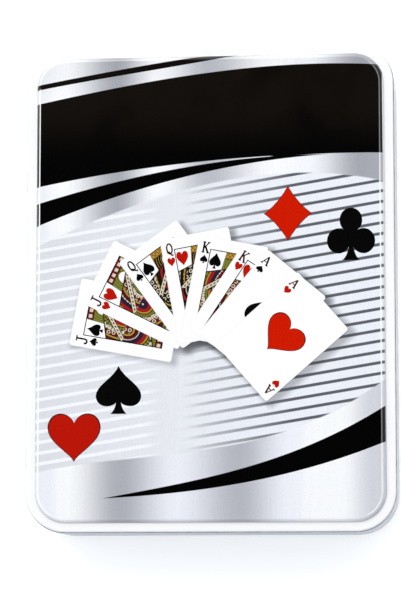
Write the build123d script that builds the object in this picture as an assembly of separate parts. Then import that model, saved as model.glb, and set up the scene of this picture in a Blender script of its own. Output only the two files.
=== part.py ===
from build123d import *
import math
import os

# Hinged tinplate box for two decks of cards, lying flat on its base.
# Frame: origin at the middle of the footprint, +X to the right and +Y to the top of
# the lid's face, +Z up out of the lid. The hinge runs along the left wall (-X).

# Whole box
tin_width = 100.0
tin_length = 132.0
corner_radius = 11.0
flange_height = 21.0
panel_height = 22.0
sheet = 0.28

# Lid: skirt, flat border and raised centre panel, as insets from the outer wall
lid_edge_radius = 0.9
hem_height = 1.5
foot_inset = 2.75
foot_radius = 0.4
shoulder_inset = 3.55
shoulder_radius = 0.8
panel_inset = 5.0

# Base: standing ring, raised floor, shoulder that the lid meets, and neck inside the lid
seam_height = 12.2
seam_gap = 0.3
base_edge_radius = 1.5
ring_inset = 4.8
floor_slope = 0.7
floor_inset = 6.4
floor_rise = 0.6
floor_radius = 0.4
shoulder_round = 0.35
neck_inset = 1.0
neck_radius = 0.3
rim_height = 19.2
curl_radius = 0.75
curl_sweep = 250.0

# Wire hinge, with one lid knuckle between two base knuckles at each end of the left wall
wire_radius = 0.5
wire_clearance = 0.05
crimp_clearance = 0.01
hinge_spacing = 76.0
lid_knuckle_length = 8.0
base_knuckle_length = 6.0
knuckle_gap = 0.3
knuckle_sweep = 300.0
notch_height = 1.25
pocket_depth = 1.3

# Tray that holds the two decks side by side
tray_sheet = 0.4
tray_gap = 0.4
tray_top = 17.0
tray_lip = 5.0
tray_edge_radius = 0.6
well_edge_radius = 0.35
deck_clearance = 0.5
deck_gap = 6.0
well_radius = 3.0
notch_length = 26.0

# Cards
card_width = 58.0
card_length = 88.0
card_thickness = 0.29
card_radius = 3.5
cards_per_suit = 13
jokers_per_deck = 2
suits = ["spades", "hearts", "clubs", "diamonds"]

# Worked out from the sizes above
knuckle_bore = wire_radius + wire_clearance
knuckle_radius = knuckle_bore + sheet
hinge_x = -tin_width / 2 - knuckle_bore
hinge_z = seam_height
skirt_bottom = seam_height + seam_gap / 2
shoulder_height = seam_height - seam_gap / 2
rim_inset = neck_inset + 2 * curl_radius
tray_floor = floor_rise + sheet
deck_floor = tray_floor + tray_sheet
well_width = card_length + 2 * deck_clearance
well_length = card_width + 2 * deck_clearance
deck_offset = (deck_gap + card_width) / 2


def rounded_plate(inset, bottom, top):
    """Flat plate with the box's outline moved in by inset."""
    outline = RectangleRounded(tin_width - 2 * inset, tin_length - 2 * inset, corner_radius - inset)
    return Pos(0, 0, bottom) * extrude(outline, top - bottom)


def box_between(low, high):
    """Box from its lowest corner to its highest corner."""
    size = [high[i] - low[i] for i in range(3)]
    middle = [(high[i] + low[i]) / 2 for i in range(3)]
    return Pos(*middle) * Box(*size)


def moved_line(points, distance):
    """Vertices of the line that runs distance to the right of points."""
    normals = []
    for start, end in zip(points, points[1:]):
        along = (Vector(*end) - Vector(*start)).normalized()
        normals.append(Vector(along.Y, -along.X))
    moved = [Vector(*points[0]) + normals[0] * distance]
    for corner, before, after in zip(points[1:], normals, normals[1:]):
        middle = before + after
        moved.append(Vector(*corner) + middle * (2 * distance / middle.dot(middle)))
    moved.append(Vector(*points[-1]) + normals[-1] * distance)
    return moved


def sheet_section(points, radii, thickness):
    """Section of bent sheet: points follow one face, and the metal lies to their right.

    Each inner corner has its radius in radii, measured on that face.
    """
    bends = []
    for before, corner, after, radius in zip(points, points[1:], points[2:], radii):
        turn = (Vector(*corner) - Vector(*before)).cross(Vector(*after) - Vector(*corner)).Z
        bends.append(radius - math.copysign(thickness, -turn))
    face_line = FilletPolyline(*points, radius=radii)
    back_line = FilletPolyline(*moved_line(points, thickness), radius=bends)
    edges = face_line.edges() + back_line.edges()
    edges.append(Line(face_line @ 0, back_line @ 0).edge())
    edges.append(Line(face_line @ 1, back_line @ 1).edge())
    return make_face(edges)


def roll_section(center, inner, outer, start, sweep):
    """Section of a rolled edge: part of a ring about center, angles in degrees."""
    ends = [math.radians(start), math.radians(start + sweep)]
    corners = []
    for angle in ends:
        for radius in (inner, outer):
            corners.append((center[0] + radius * math.cos(angle), center[1] + radius * math.sin(angle)))
    edges = [
        CenterArc(center, inner, start, sweep).edge(),
        CenterArc(center, outer, start, sweep).edge(),
        Line(corners[0], corners[1]).edge(),
        Line(corners[2], corners[3]).edge(),
    ]
    return make_face(edges)


def round_the_box(section):
    """Carry a section, drawn as (inset, height), along all four walls and corners."""
    half_width = tin_width / 2
    half_length = tin_length / 2
    flat_width = half_width - corner_radius
    flat_length = half_length - corner_radius
    pieces = []
    for turn, reach, run in [(0, half_width, flat_length), (90, half_length, flat_width),
                             (180, half_width, flat_length), (270, half_length, flat_width)]:
        wall_plane = Plane(origin=(reach, -run, 0), x_dir=(-1, 0, 0), z_dir=(0, 1, 0))
        wall = extrude(wall_plane * section, 2 * run)
        corner_plane = Plane(origin=(reach, run, 0), x_dir=(-1, 0, 0), z_dir=(0, 1, 0))
        pivot = Axis((reach - corner_radius, run, 0), (0, 0, 1))
        corner = revolve(corner_plane * section, pivot, 90)
        pieces.append(Rot(0, 0, turn) * wall)
        pieces.append(Rot(0, 0, turn) * corner)
    return pieces[0].fuse(*pieces[1:]).clean()


def knuckle(middle, length, bore, start, sweep):
    """Rolled barrel about the hinge line, open beside its leaf."""
    section = roll_section((0, 0), bore, knuckle_radius, start, sweep)
    plane = Plane(origin=(hinge_x, middle + length / 2, hinge_z), x_dir=(1, 0, 0), z_dir=(0, -1, 0))
    return extrude(plane * section, length)


def hinge_centers():
    return [-hinge_spacing / 2, hinge_spacing / 2]


def base_knuckle_centers(center):
    reach = (lid_knuckle_length + base_knuckle_length) / 2 + knuckle_gap
    return [center - reach, center + reach]


def lid_shell():
    outside = [
        (0, skirt_bottom + sheet),
        (0, flange_height),
        (foot_inset, flange_height),
        (shoulder_inset, panel_height),
        (panel_inset, panel_height),
    ]
    skin = sheet_section(outside, [lid_edge_radius, foot_radius, shoulder_radius], sheet)
    hem_layer = Pos(sheet * 1.5, skirt_bottom + sheet + hem_height / 2) * Rectangle(sheet, hem_height)
    hem_fold = Pos(sheet, skirt_bottom + sheet) * Circle(sheet)
    shell = round_the_box(skin + hem_layer + hem_fold)
    shell += rounded_plate(panel_inset, panel_height - sheet, panel_height)
    wall = -tin_width / 2
    for center in hinge_centers():
        for middle in base_knuckle_centers(center):
            reach = base_knuckle_length / 2 + knuckle_gap
            shell -= box_between(
                (wall - sheet, middle - reach, skirt_bottom - sheet),
                (wall + 3 * sheet, middle + reach, hinge_z + notch_height),
            )
        half = lid_knuckle_length / 2
        shell += box_between(
            (wall, center - half, hinge_z),
            (wall + sheet, center + half, skirt_bottom + 2 * sheet),
        )
        shell += knuckle(center, lid_knuckle_length, knuckle_bore, -knuckle_sweep, knuckle_sweep)
    return shell


def base_section():
    outside = [
        (floor_inset, floor_rise),
        (ring_inset + floor_slope, floor_rise),
        (ring_inset, 0),
        (0, 0),
        (0, shoulder_height),
        (neck_inset, shoulder_height),
        (neck_inset, rim_height - curl_radius),
    ]
    bends = [floor_radius, floor_radius, base_edge_radius, shoulder_round, neck_radius]
    wall = sheet_section(outside, bends, sheet)
    curl_center = (neck_inset + curl_radius, rim_height - curl_radius)
    curl = roll_section(curl_center, curl_radius - sheet, curl_radius, 180 - curl_sweep, curl_sweep)
    return wall + curl


def base_shell():
    shell = round_the_box(base_section())
    shell += rounded_plate(floor_inset, floor_rise, floor_rise + sheet)
    wall = -tin_width / 2
    for center in hinge_centers():
        half = lid_knuckle_length / 2 + knuckle_gap
        pocket_floor = hinge_z - pocket_depth
        shell += box_between(
            (wall, center - half - sheet, pocket_floor - sheet),
            (wall + neck_inset + sheet, center + half + sheet, shoulder_height),
        )
        shell += box_between(
            (wall + neck_inset, center - half, shoulder_height),
            (wall + neck_inset + sheet, center + half, shoulder_height + neck_radius + sheet),
        )
        shell -= box_between(
            (wall - sheet, center - half, pocket_floor),
            (wall + neck_inset, center + half, shoulder_height + neck_radius),
        )
        for middle in base_knuckle_centers(center):
            reach = base_knuckle_length / 2
            shell += box_between(
                (wall, middle - reach, shoulder_height - 2 * sheet),
                (wall + sheet, middle + reach, hinge_z),
            )
            crimped_bore = wire_radius + crimp_clearance
            shell += knuckle(middle, base_knuckle_length, crimped_bore, 0, knuckle_sweep)
    return shell


def hinge_pin(center):
    """Plain wire, as long as its three knuckles and crimped in the two outer ones."""
    length = lid_knuckle_length + 2 * (knuckle_gap + base_knuckle_length)
    return Pos(hinge_x, center, hinge_z) * Rot(90, 0, 0) * Cylinder(wire_radius, length)


def well_outline(grow):
    """Plan of the two card wells and the finger notch that joins them."""
    outline = Sketch()
    for side in (-1, 1):
        well = RectangleRounded(well_width + 2 * grow, well_length + 2 * grow, well_radius + grow)
        outline += Pos(0, side * deck_offset) * well
    return outline + Rectangle(notch_length + 2 * grow, deck_gap + well_radius)


def card_tray():
    edge = rim_inset + tray_gap
    plate = rounded_plate(edge, tray_top - tray_lip, tray_top)
    rim_edges = plate.faces().sort_by(Axis.Z)[-1].edges()
    plate = fillet(rim_edges, tray_edge_radius)
    hollow = rounded_plate(edge + tray_sheet, tray_top - tray_lip, tray_top - tray_sheet)
    tray = plate - hollow
    well_height = tray_top - tray_floor
    tray += Pos(0, 0, tray_floor) * extrude(well_outline(tray_sheet), well_height)
    tray -= Pos(0, 0, deck_floor) * extrude(well_outline(0), well_height)
    mouth_edges = tray.faces().sort_by(Axis.Z)[-1].inner_wires()[0].edges()
    return fillet(mouth_edges, well_edge_radius)


def card_stack(offset, first, count):
    """Run of cards lying face to face, from card number first up."""
    outline = RectangleRounded(card_length, card_width, card_radius)
    cards = []
    for number in range(first, first + count):
        height = deck_floor + number * card_thickness
        cards.append(Pos(0, offset, height) * extrude(outline, card_thickness))
    return Compound(children=cards)


def build_all():
    parts = {
        "lid_shell": lid_shell(),
        "base_shell": base_shell(),
        "card_tray": card_tray(),
    }
    for name, center in zip(["lower_hinge_pin", "upper_hinge_pin"], hinge_centers()):
        parts[name] = hinge_pin(center)
    for deck, offset in [("red_deck", -deck_offset), ("blue_deck", deck_offset)]:
        for number, suit in enumerate(suits):
            parts[deck + "_" + suit] = card_stack(offset, number * cards_per_suit, cards_per_suit)
        parts[deck + "_jokers"] = card_stack(offset, len(suits) * cards_per_suit, jokers_per_deck)
    return parts


os.makedirs("parts", exist_ok=True)
for node, shape in build_all().items():
    export_step(shape, "parts/" + node + ".step")
    print(node, len(shape.solids()), round(shape.volume, 2))
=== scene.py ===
import math
import bmesh
import bpy
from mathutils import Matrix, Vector


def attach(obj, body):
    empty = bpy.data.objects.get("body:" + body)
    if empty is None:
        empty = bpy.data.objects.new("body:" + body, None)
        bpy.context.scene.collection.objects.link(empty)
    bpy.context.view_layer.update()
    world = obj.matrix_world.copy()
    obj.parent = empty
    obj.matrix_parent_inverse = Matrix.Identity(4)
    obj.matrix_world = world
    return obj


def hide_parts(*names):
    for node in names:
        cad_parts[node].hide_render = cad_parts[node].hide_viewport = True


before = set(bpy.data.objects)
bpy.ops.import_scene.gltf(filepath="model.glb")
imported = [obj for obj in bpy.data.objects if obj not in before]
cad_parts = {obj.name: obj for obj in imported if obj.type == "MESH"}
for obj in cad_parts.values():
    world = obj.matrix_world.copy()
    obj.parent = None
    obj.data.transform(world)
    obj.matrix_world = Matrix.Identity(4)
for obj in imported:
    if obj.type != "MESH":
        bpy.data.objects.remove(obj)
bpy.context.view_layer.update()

# Hinged tin for two decks of cards, closed, lying on its base. The solids come from the frame;
# this script adds the lithographed face of the lid, the cards and every finish.

mm = 0.001
tinOutline = {"width": 100.0, "length": 132.0, "cornerRadius": 11.0}


def paint(red, green, blue):
    # Screen levels from 0 to 255 as the linear colour that nodes take.
    shares = [level / 255 for level in (red, green, blue)]
    return (*(s / 12.92 if s <= 0.04045 else ((s + 0.055) / 1.055) ** 2.4 for s in shares), 1.0)


def addObject(name, data):
    added = bpy.data.objects.new(name, data)
    bpy.context.scene.collection.objects.link(added)
    return added


# Small tools for node trees

def isSocket(value):
    return isinstance(value, bpy.types.NodeSocket)


def socketLabel(word):
    # upperPeakX stands for the socket Upper Peak X.
    spaced = "".join(" " + letter if letter.isupper() else letter for letter in word).strip()
    return spaced[0].upper() + spaced[1:]


def fill(sockets, values):
    # Links what comes from another node, sets a plain value, and leaves None alone.
    for socket, value in zip(sockets, values):
        if isSocket(value):
            socket.id_data.links.new(value, socket)
        elif value is not None:
            socket.default_value = value


def fillNamed(node, **values):
    fill([node.inputs[socketLabel(word)] for word in values], values.values())


def treeOf(values):
    return next(value.id_data for value in values if isSocket(value))


def newNode(kind, *values, **settings):
    # Node in the tree that its first linked value comes from, with its inputs filled in order.
    node = treeOf(values).nodes.new(kind)
    for key, value in settings.items():
        setattr(node, key, value)
    fill(node.inputs, values)
    return node


def calc(operation, *values):
    return newNode("ShaderNodeMath", *values, operation=operation).outputs[0]


def calcInTurn(operation, total, *values):
    for value in values:
        total = calc(operation, total, value)
    return total


def plus(*values):
    return calcInTurn("ADD", *values)


def times(*values):
    return calcInTurn("MULTIPLY", *values)


def largest(*values):
    return calcInTurn("MAXIMUM", *values)


def minus(first, second):
    return calc("SUBTRACT", first, second)


def apart(first, second):
    return calc("ABSOLUTE", minus(first, second))


def over(value, limit):
    return calc("GREATER_THAN", value, limit)


def sloped(value, slope, start):
    return calc("MULTIPLY_ADD", value, slope, start)


def wrapped(value, half):
    return calc("WRAP", value, half, -half)


def calcVector(operation, *values):
    node = newNode("ShaderNodeVectorMath", *values, operation=operation)
    return node.outputs["Value" if operation in ("LENGTH", "DOT_PRODUCT") else "Vector"]


def joinVector(x=0.0, y=0.0, z=0.0):
    return newNode("ShaderNodeCombineXYZ", x, y, z).outputs[0]


def splitVector(vector):
    return newNode("ShaderNodeSeparateXYZ", vector).outputs


def reachOf(x, y):
    return calcVector("LENGTH", joinVector(x, y))


def pastSides(vector, halfSize):
    # How far a point lies past each side of a rectangle: negative inside it.
    return calcVector("SUBTRACT", calcVector("ABSOLUTE", vector), halfSize)


def reachPast(past):
    return calcVector("LENGTH", calcVector("MAXIMUM", past, (0, 0, 0)))


def levelness(normal):
    # 1 where a surface lies flat, and 0 on an upright wall.
    return calc("ABSOLUTE", splitVector(normal)[2])


def ease(value, low, high, start=0.0, end=1.0):
    node = newNode("ShaderNodeMapRange", value, low, high, start, end, interpolation_type="SMOOTHSTEP")
    return node.outputs[0]


def within(value, half, soft):
    # 1 below half and 0 above it, over a soft edge.
    return ease(value, half + soft, half - soft)


def mixColour(factor, first, second, blend="MIX"):
    gap = [None] * 5
    node = newNode("ShaderNodeMix", factor, *gap, first, second, data_type="RGBA", blend_type=blend)
    return node.outputs[2]


def mixValue(factor, first, second):
    return newNode("ShaderNodeMix", factor, None, first, second).outputs[0]


def lighten(colour, level):
    return mixColour(1.0, colour, joinVector(level, level, level), "MULTIPLY")


def addRamp(factor, stops, interpolation="LINEAR"):
    node = newNode("ShaderNodeValToRGB", factor)
    ramp = node.color_ramp
    ramp.interpolation = interpolation
    while len(ramp.elements) < len(stops):
        ramp.elements.new(0.5)
    for element, (position, colour) in zip(ramp.elements, stops):
        element.position = position
        element.color = colour
    return node.outputs[0]


def addNoise(vector, scale, detail=2.0):
    node = newNode("ShaderNodeTexNoise", vector)
    fillNamed(node, scale=scale, detail=detail)
    return node.outputs["Fac"]


def addBump(height, strength, depth, normal=None):
    node = height.id_data.nodes.new("ShaderNodeBump")
    fillNamed(node, height=height, strength=strength, distance=depth, normal=normal)
    return node.outputs[0]


def startMaterial(name):
    # The material, its shader, and the place on the surface in millimetres.
    material = bpy.data.materials.new(name)
    material.use_nodes = True
    nodes = material.node_tree.nodes
    nodes.clear()
    surface = nodes.new("ShaderNodeBsdfPrincipled")
    fill(nodes.new("ShaderNodeOutputMaterial").inputs, [surface.outputs["BSDF"]])
    place = nodes.new("ShaderNodeTexCoord").outputs["Object"]
    return material, surface, newNode("ShaderNodeMapping", place, None, None, (1000, 1000, 1000)).outputs[0]


def surfaceNormal(surface):
    return surface.id_data.nodes.new("ShaderNodeTexCoord").outputs["Normal"]


def readAttribute(surface, name):
    node = surface.id_data.nodes.new("ShaderNodeAttribute")
    node.attribute_name = name
    return node.outputs


def startGroup(name, outputs, **inputs):
    # A number makes a float socket, and None a vector. Every output is a float.
    group = bpy.data.node_groups.new(name, "ShaderNodeTree")
    for word, value in inputs.items():
        kind = "NodeSocketVector" if value is None else "NodeSocketFloat"
        socket = group.interface.new_socket(name=socketLabel(word), in_out="INPUT", socket_type=kind)
        if value is not None:
            socket.default_value = value
    for label in outputs:
        group.interface.new_socket(name=label, in_out="OUTPUT", socket_type="NodeSocketFloat")
    given = list(group.nodes.new("NodeGroupInput").outputs)[:len(inputs)]
    return given, group.nodes.new("NodeGroupOutput").inputs


def closeGroup(result, *values):
    fill(result, values)
    return result[0].id_data


def useGroup(group, **values):
    node = treeOf(values.values()).nodes.new("ShaderNodeGroup")
    node.node_tree = group
    fillNamed(node, **values)
    return node.outputs


def addGrain(position, fineness, streak, strength):
    # Flakes to the millimetre, how much is streak, and depth of tone: the "grain" of a look.
    return useGroup(fineGrain, vector=position, fineness=fineness, streak=streak, strength=strength)


def addSpecks(position, spacing, size, share):
    # Millimetres between specks, their size, and how many places hold one: the "specks" of a look.
    return useGroup(dustSpecks, vector=position, spacing=spacing, size=size, share=share)["Mask"]


def finishWith(surface, grain, rough, relief, under=None, **values):
    # rough is a socket, or a slope and level over the grain. relief is the strength and depth of the
    # grain's bumps, laid on top of the bumps in under.
    rough = rough if isSocket(rough) else sloped(grain["Grain"], *rough)
    fillNamed(surface, roughness=rough, normal=addBump(grain["Height"], *relief, under), **values)


# Shared effects: each is a group of values and masks only

def buildFineGrain():
    # Mottle of fine flakes with long soft streaks across it. Grain is centred on zero.
    (vector, fineness, streak, strength), result = startGroup(
        "fineGrain", ("Grain", "Height"), vector=None, fineness=4.0, streak=0.5, strength=0.05)
    flakes = addNoise(vector, fineness, 3.0)
    streaks = addNoise(calcVector("MULTIPLY", vector, (1.0, 0.03, 1.0)), fineness, 1.0)
    both = mixValue(streak, flakes, streaks)
    return closeGroup(result, times(minus(both, 0.5), strength), both)


def buildDustSpecks():
    # Scattered specks: only a few of the cells hold one, and each has its own size.
    (vector, spacing, size, share), result = startGroup(
        "dustSpecks", ("Mask",), vector=None, spacing=6.0, size=0.05, share=0.3)
    cells = newNode("ShaderNodeTexVoronoi", vector)
    fillNamed(cells, scale=calc("DIVIDE", 1.0, spacing))
    tone = splitVector(cells.outputs["Color"])
    reach = times(size, plus(tone[1], 0.3))
    speck = ease(times(cells.outputs["Distance"], spacing), reach, times(reach, 0.4))
    return closeGroup(result, times(speck, calc("LESS_THAN", tone[0], share)))


def buildPaintedBendLine():
    # Mask for a thin line where a sheet is bent, used for painted shade on the tin and a painted highlight
    # on the tray: strongest at one slope, broken up by noise.
    (normal, vector, slope, spread, breakup, fineness), result = startGroup(
        "bendWear", ("Mask",), normal=None, vector=None, slope=0.7, spread=0.2, breakup=0.4, fineness=0.6)
    line = ease(apart(levelness(normal), slope), spread, 0.0)
    broken = ease(addNoise(vector, fineness, 4.0), 0.3, 0.7)
    return closeGroup(result, times(line, mixValue(breakup, 1.0, broken)))


def buildWallInset():
    # Distance in from the outer wall of the tin, in millimetres, round its corners too.
    (vector,), result = startGroup("wallInset", ("Inset",), vector=None)
    radius = tinOutline["cornerRadius"]
    x, y = splitVector(vector)[:2]
    centre = (tinOutline["width"] / 2 - radius, tinOutline["length"] / 2 - radius, 0.0)
    past = pastSides(joinVector(x, y), centre)
    px, py = splitVector(past)[:2]
    inside = calc("MINIMUM", largest(px, py), 0.0)
    return closeGroup(result, minus(radius, plus(reachPast(past), inside)))


def buildSweptBand():
    # Area between two long curves. Each edge is start + slope t + bend t^2 + twist t^3, in
    # millimetres, and t is the place across the tin, from -1 at the left wall to 1 at the right.
    (across, up, upperEdge, upperTwist, lowerEdge, lowerTwist, softness), result = startGroup(
        "sweptBand", ("Mask", "Above Lower"), across=0.0, up=0.0, upperEdge=None, upperTwist=0.0,
        lowerEdge=None, lowerTwist=0.0, softness=0.1)
    gaps = []
    for edge, twist in ((upperEdge, upperTwist), (lowerEdge, lowerTwist)):
        start, slope, bend = splitVector(edge)
        height = sloped(sloped(sloped(twist, across, bend), across, slope), across, start)
        gaps.append(minus(height, up))
    half = times(softness, 0.5)
    less = times(half, -1.0)
    above = ease(gaps[1], half, less)
    return closeGroup(result, times(ease(gaps[0], less, half), above), above)


def buildCardShadow():
    # Soft shade of one card printed under it; the tilt turns the card's length to +Y.
    (vector, centre, tilt, halfSize, blur), result = startGroup(
        "cardShadow", ("Shade",), vector=None, centre=None, tilt=0.0, halfSize=None, blur=1.6)
    turned = newNode("ShaderNodeVectorRotate", vector, centre, None, tilt, rotation_type="Z_AXIS")
    past = pastSides(calcVector("SUBTRACT", turned.outputs[0], centre), halfSize)
    return closeGroup(result, ease(reachPast(past), blur, 0.0))


fineGrain = buildFineGrain()
dustSpecks = buildDustSpecks()
bendWear = buildPaintedBendLine()
wallInset = buildWallInset()
sweptBand = buildSweptBand()
cardShadow = buildCardShadow()
print("shared shader groups built")

# The fan of eight cards printed on the lid: middle of each card, the way its top points, its size,
# how far its print is off the middle, and how dark its shade is

fanRows = [
    ("J", "spade", (-22.52, -8.82), 169.7, (18.4, 28.1), (0.29, -0.1), 0.42),
    ("J", "heart", (-17.18, -2.0), 153.6, (19.1, 28.9), (0.16, 0.38), 0.55),
    ("Q", "spade", (-8.08, 0.78), 126.2, (19.4, 29.3), (-0.06, 0.56), 0.66),
    ("Q", "heart", (-1.52, 0.31), 100.3, (19.0, 28.9), (0.11, 0.38), 0.66),
    ("K", "spade", (4.01, -1.51), 78.9, (18.9, 28.1), (0.35, -0.05), 0.68),
    ("K", "heart", (9.67, -5.21), 56.5, (19.2, 27.5), (0.0, -0.18), 0.64),
    ("A", "spade", (14.25, -7.88), 50.0, (20.5, 29.3), (0.0, 0.0), 0.64),
    ("A", "heart", (19.47, -13.71), 41.0, (20.9, 29.4), (0.0, 0.0), 0.5),
]
fanCards = [dict(zip(("rank", "suit", "middle", "tilt", "size", "print", "shade"), row)) for row in fanRows]
fanSizes = {"width": 18.7, "length": 28.1, "cornerRadius": 0.8, "cardThickness": 0.008,
            "inkThickness": 0.004, "layer": 0.02, "ground": 22.05}

# The printed face of the lid

printSizes = {**tinOutline, "cornerPoints": 24, "flangeHeight": 21.0, "panelHeight": 22.0,
              "footInset": 2.75, "footRadius": 0.4, "shoulderInset": 3.55, "shoulderRadius": 0.8,
              "clearance": 0.03, "thickness": 0.012, "printInset": 2.84, "bendPoints": 10}


def panelSection(sizes):
    # Upper face of the lid's bent sheet from the foot of the raised panel to its flat top,
    # as (inset, height), moved out by the clearance.
    rise = sizes["panelHeight"] - sizes["flangeHeight"]
    slope = math.atan2(rise, sizes["shoulderInset"] - sizes["footInset"])
    turns = [slope * step / sizes["bendPoints"] for step in range(sizes["bendPoints"] + 1)]

    def bendAt(inset, height, radius, side):
        # side is 1 for a bend about a centre above the sheet, -1 for one below it
        x, y = inset - side * radius * math.tan(slope / 2), height + side * radius
        reach = side * radius - sizes["clearance"]
        return [(x + reach * math.sin(turn), y - reach * math.cos(turn)) for turn in turns]

    foot = bendAt(sizes["footInset"], sizes["flangeHeight"], sizes["footRadius"], 1)
    top = bendAt(sizes["shoulderInset"], sizes["panelHeight"], sizes["shoulderRadius"], -1)
    return [point for point in foot if point[0] >= sizes["printInset"]] + top[::-1]


socketKinds = {"geometry": "Geometry", "material": "Material", "section": "Object", "start": "Vector",
               "cornerPoints": "Int", "count": "Int", "seed": "Int"}


def newTree(name, *words):
    # Tree with a named input for each word, after the mesh that it starts from.
    tree = bpy.data.node_groups.new(name, "GeometryNodeTree")
    for word in ("geometry", *words):
        kind = "NodeSocket" + socketKinds.get(word, "Float")
        tree.interface.new_socket(name=socketLabel(word), in_out="INPUT", socket_type=kind)
    tree.interface.new_socket(name="Geometry", in_out="OUTPUT", socket_type="NodeSocketGeometry")
    return tree, list(tree.nodes.new("NodeGroupInput").outputs)[:len(words) + 1]


def addNode(tree, kind, settings=None, **values):
    # Geometry node with its inputs filled by name: gives its first output in use.
    node = tree.nodes.new(kind if kind.startswith("FunctionNode") else "GeometryNode" + kind)
    for key, value in (settings or {}).items():
        setattr(node, key, value)
    fillNamed(node, **values)
    return next(socket for socket in node.outputs if socket.enabled)


def closeTree(tree, geometry, material):
    real = addNode(tree, "RealizeInstances", geometry=geometry)
    coated = addNode(tree, "SetMaterial", geometry=real, material=material)
    fill(tree.nodes.new("NodeGroupOutput").inputs, [coated])
    return tree


def inMetres(sizes, *words):
    return {word: sizes[word] * mm for word in words}


def growPiece(name, tree, source=None, **values):
    # Runs a tree on a mesh and keeps the result as a plain mesh at the origin.
    holder = addObject(name + "Holder", source or bpy.data.meshes.new(name + "Seed"))
    modifier = holder.modifiers.new("grow", "NODES")
    modifier.node_group = tree
    inputs = [item for item in tree.interface.items_tree if item.in_out == "INPUT"]
    identifiers = {item.name: item.identifier for item in inputs}
    for word, value in values.items():
        modifier[identifiers[socketLabel(word)]] = value
    bpy.context.view_layer.update()
    depsgraph = bpy.context.evaluated_depsgraph_get()
    mesh = bpy.data.meshes.new_from_object(holder.evaluated_get(depsgraph), depsgraph=depsgraph)
    holder.modifiers.remove(modifier)
    bpy.data.objects.remove(holder)
    mesh.name = name
    return addObject(name, mesh)


def mergeParts(tree, *parts):
    joined = tree.nodes.new("GeometryNodeJoinGeometry")
    fill([joined.inputs[0]] * len(parts), parts)
    return addNode(tree, "MergeByDistance", geometry=joined.outputs[0], distance=0.0000005)


def thicken(tree, surface, thickness):
    # Closed slab that stands on a surface whose faces look up.
    pushed = addNode(tree, "ExtrudeMesh", mesh=surface, offsetScale=thickness, individual=False)
    return mergeParts(tree, pushed, addNode(tree, "FlipFaces", mesh=surface))


def addRoundedRectangle(tree, width, length, radius, count):
    outline = addNode(tree, "CurvePrimitiveQuadrilateral", width=width, height=length)
    return addNode(tree, "FilletCurve", {"mode": "POLY"}, curve=outline, radius=radius, count=count)


def buildSkinTree():
    # Carries a section round the tin's outline and closes it with a flat middle.
    tree, given = newTree("raisedPanelSkin", "width", "length", "cornerRadius", "cornerPoints", "section",
                          "panelHeight", "thickness", "material")
    width, length, radius, count, section, panelHeight, thickness, material = given[1:]
    path = addRoundedRectangle(tree, width, length, radius, count)
    info = tree.nodes.new("GeometryNodeObjectInfo")
    fillNamed(info, object=section)
    swept = addNode(tree, "CurveToMesh", curve=path, profileCurve=info.outputs["Geometry"])
    single = calc("COMPARE", addNode(tree, "InputMeshEdgeNeighbors"), 1.0, 0.1)
    high = over(splitVector(addNode(tree, "InputPosition"))[2], minus(panelHeight, 0.00001))
    loop = addNode(tree, "MeshToCurve", mesh=swept, selection=times(single, high))
    middle = addNode(tree, "FillCurve", {"mode": "NGONS"}, curve=loop)
    raised = addNode(tree, "SetPosition", geometry=middle, offset=joinVector(0.0, 0.0, panelHeight))
    whole = mergeParts(tree, raised, addNode(tree, "FlipFaces", mesh=swept))
    return closeTree(tree, thicken(tree, whole, thickness), material)


def makePanelSkin(sizes, material):
    # The section is a poly curve whose x is the inset and whose y is the height.
    curve = bpy.data.curves.new("panelSection", "CURVE")
    curve.dimensions = "3D"
    spline = curve.splines.new("POLY")
    points = panelSection(sizes)
    spline.points.add(len(points) - 1)
    for point, (inset, height) in zip(spline.points, points):
        point.co = (-inset * mm, -height * mm, 0, 1)
    section = addObject("panelSection", curve)
    piece = growPiece(
        "lidFacePrint", buildSkinTree(), **inMetres(sizes, "width", "length", "cornerRadius", "thickness"),
        cornerPoints=sizes["cornerPoints"], section=section,
        panelHeight=(sizes["panelHeight"] + sizes["clearance"]) * mm, material=material)
    bpy.data.objects.remove(section)
    return piece


# Edges of the printed bands: heights at the left wall, at two handles and at the right wall.
printEdges = {
    "thinBand": ((55.15, 61.4, 66.8, 66.2), (53.8, 60.15, 62.45, 73.3)),
    "wideBand": ((49.85, 56.9, 62.6, 59.5), (27.0, 34.1, 36.35, 35.7)),
    "secondBand": ((22.1, 32.4, 38.25, 34.25), (15.65, 29.65, 37.05, 35.55)),
    "closedGap": ((27.5, 34.6, 36.9, 36.2), (21.6, 31.9, 37.0, 35.6)),
    "lowSwoosh": ((-60.9, -53.25, -52.6, -30.45), (-57.3, -56.85, -54.9, -40.7)),
    "stripeField": ((9.9, 26.0, 36.2, 27.3), (-50.4, -42.3, -49.6, -23.1)),
}
# Tones at places across the tin, then the plain inks, with a painted warm sheen for the black ink and a
# painted highlight line among them.
printTones = {
    "upperSilver": [(-50, 232), (-40, 254), (-25, 172), (-14, 253), (0, 192), (18, 255), (26, 251),
                    (41, 170), (50, 178)],
    "lowerSilver": [(-50, 236), (-44, 244), (-39, 255), (-24, 178), (-9, 242), (8, 186), (22, 246),
                    (28, 255), (35, 255), (44, 216), (50, 208)],
    "stripe": [(-18, 244), (-8, 222), (2, 180), (12, 140), (22, 94)],
    "field": [(-50, (214, 217, 223)), (-10, (226, 229, 235)), (20, (233, 236, 244))],
    "silverTint": (-4, -2, 7), "stripeTint": (-4, -1, 6),
    "blackInk": (2, 2, 2), "warmInk": (18, 14, 11), "beadLine": (252, 253, 254),
    "fanShade": (70, 72, 80), "rim": (250, 251, 252), "speck": (225, 224, 220),
}
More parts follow.
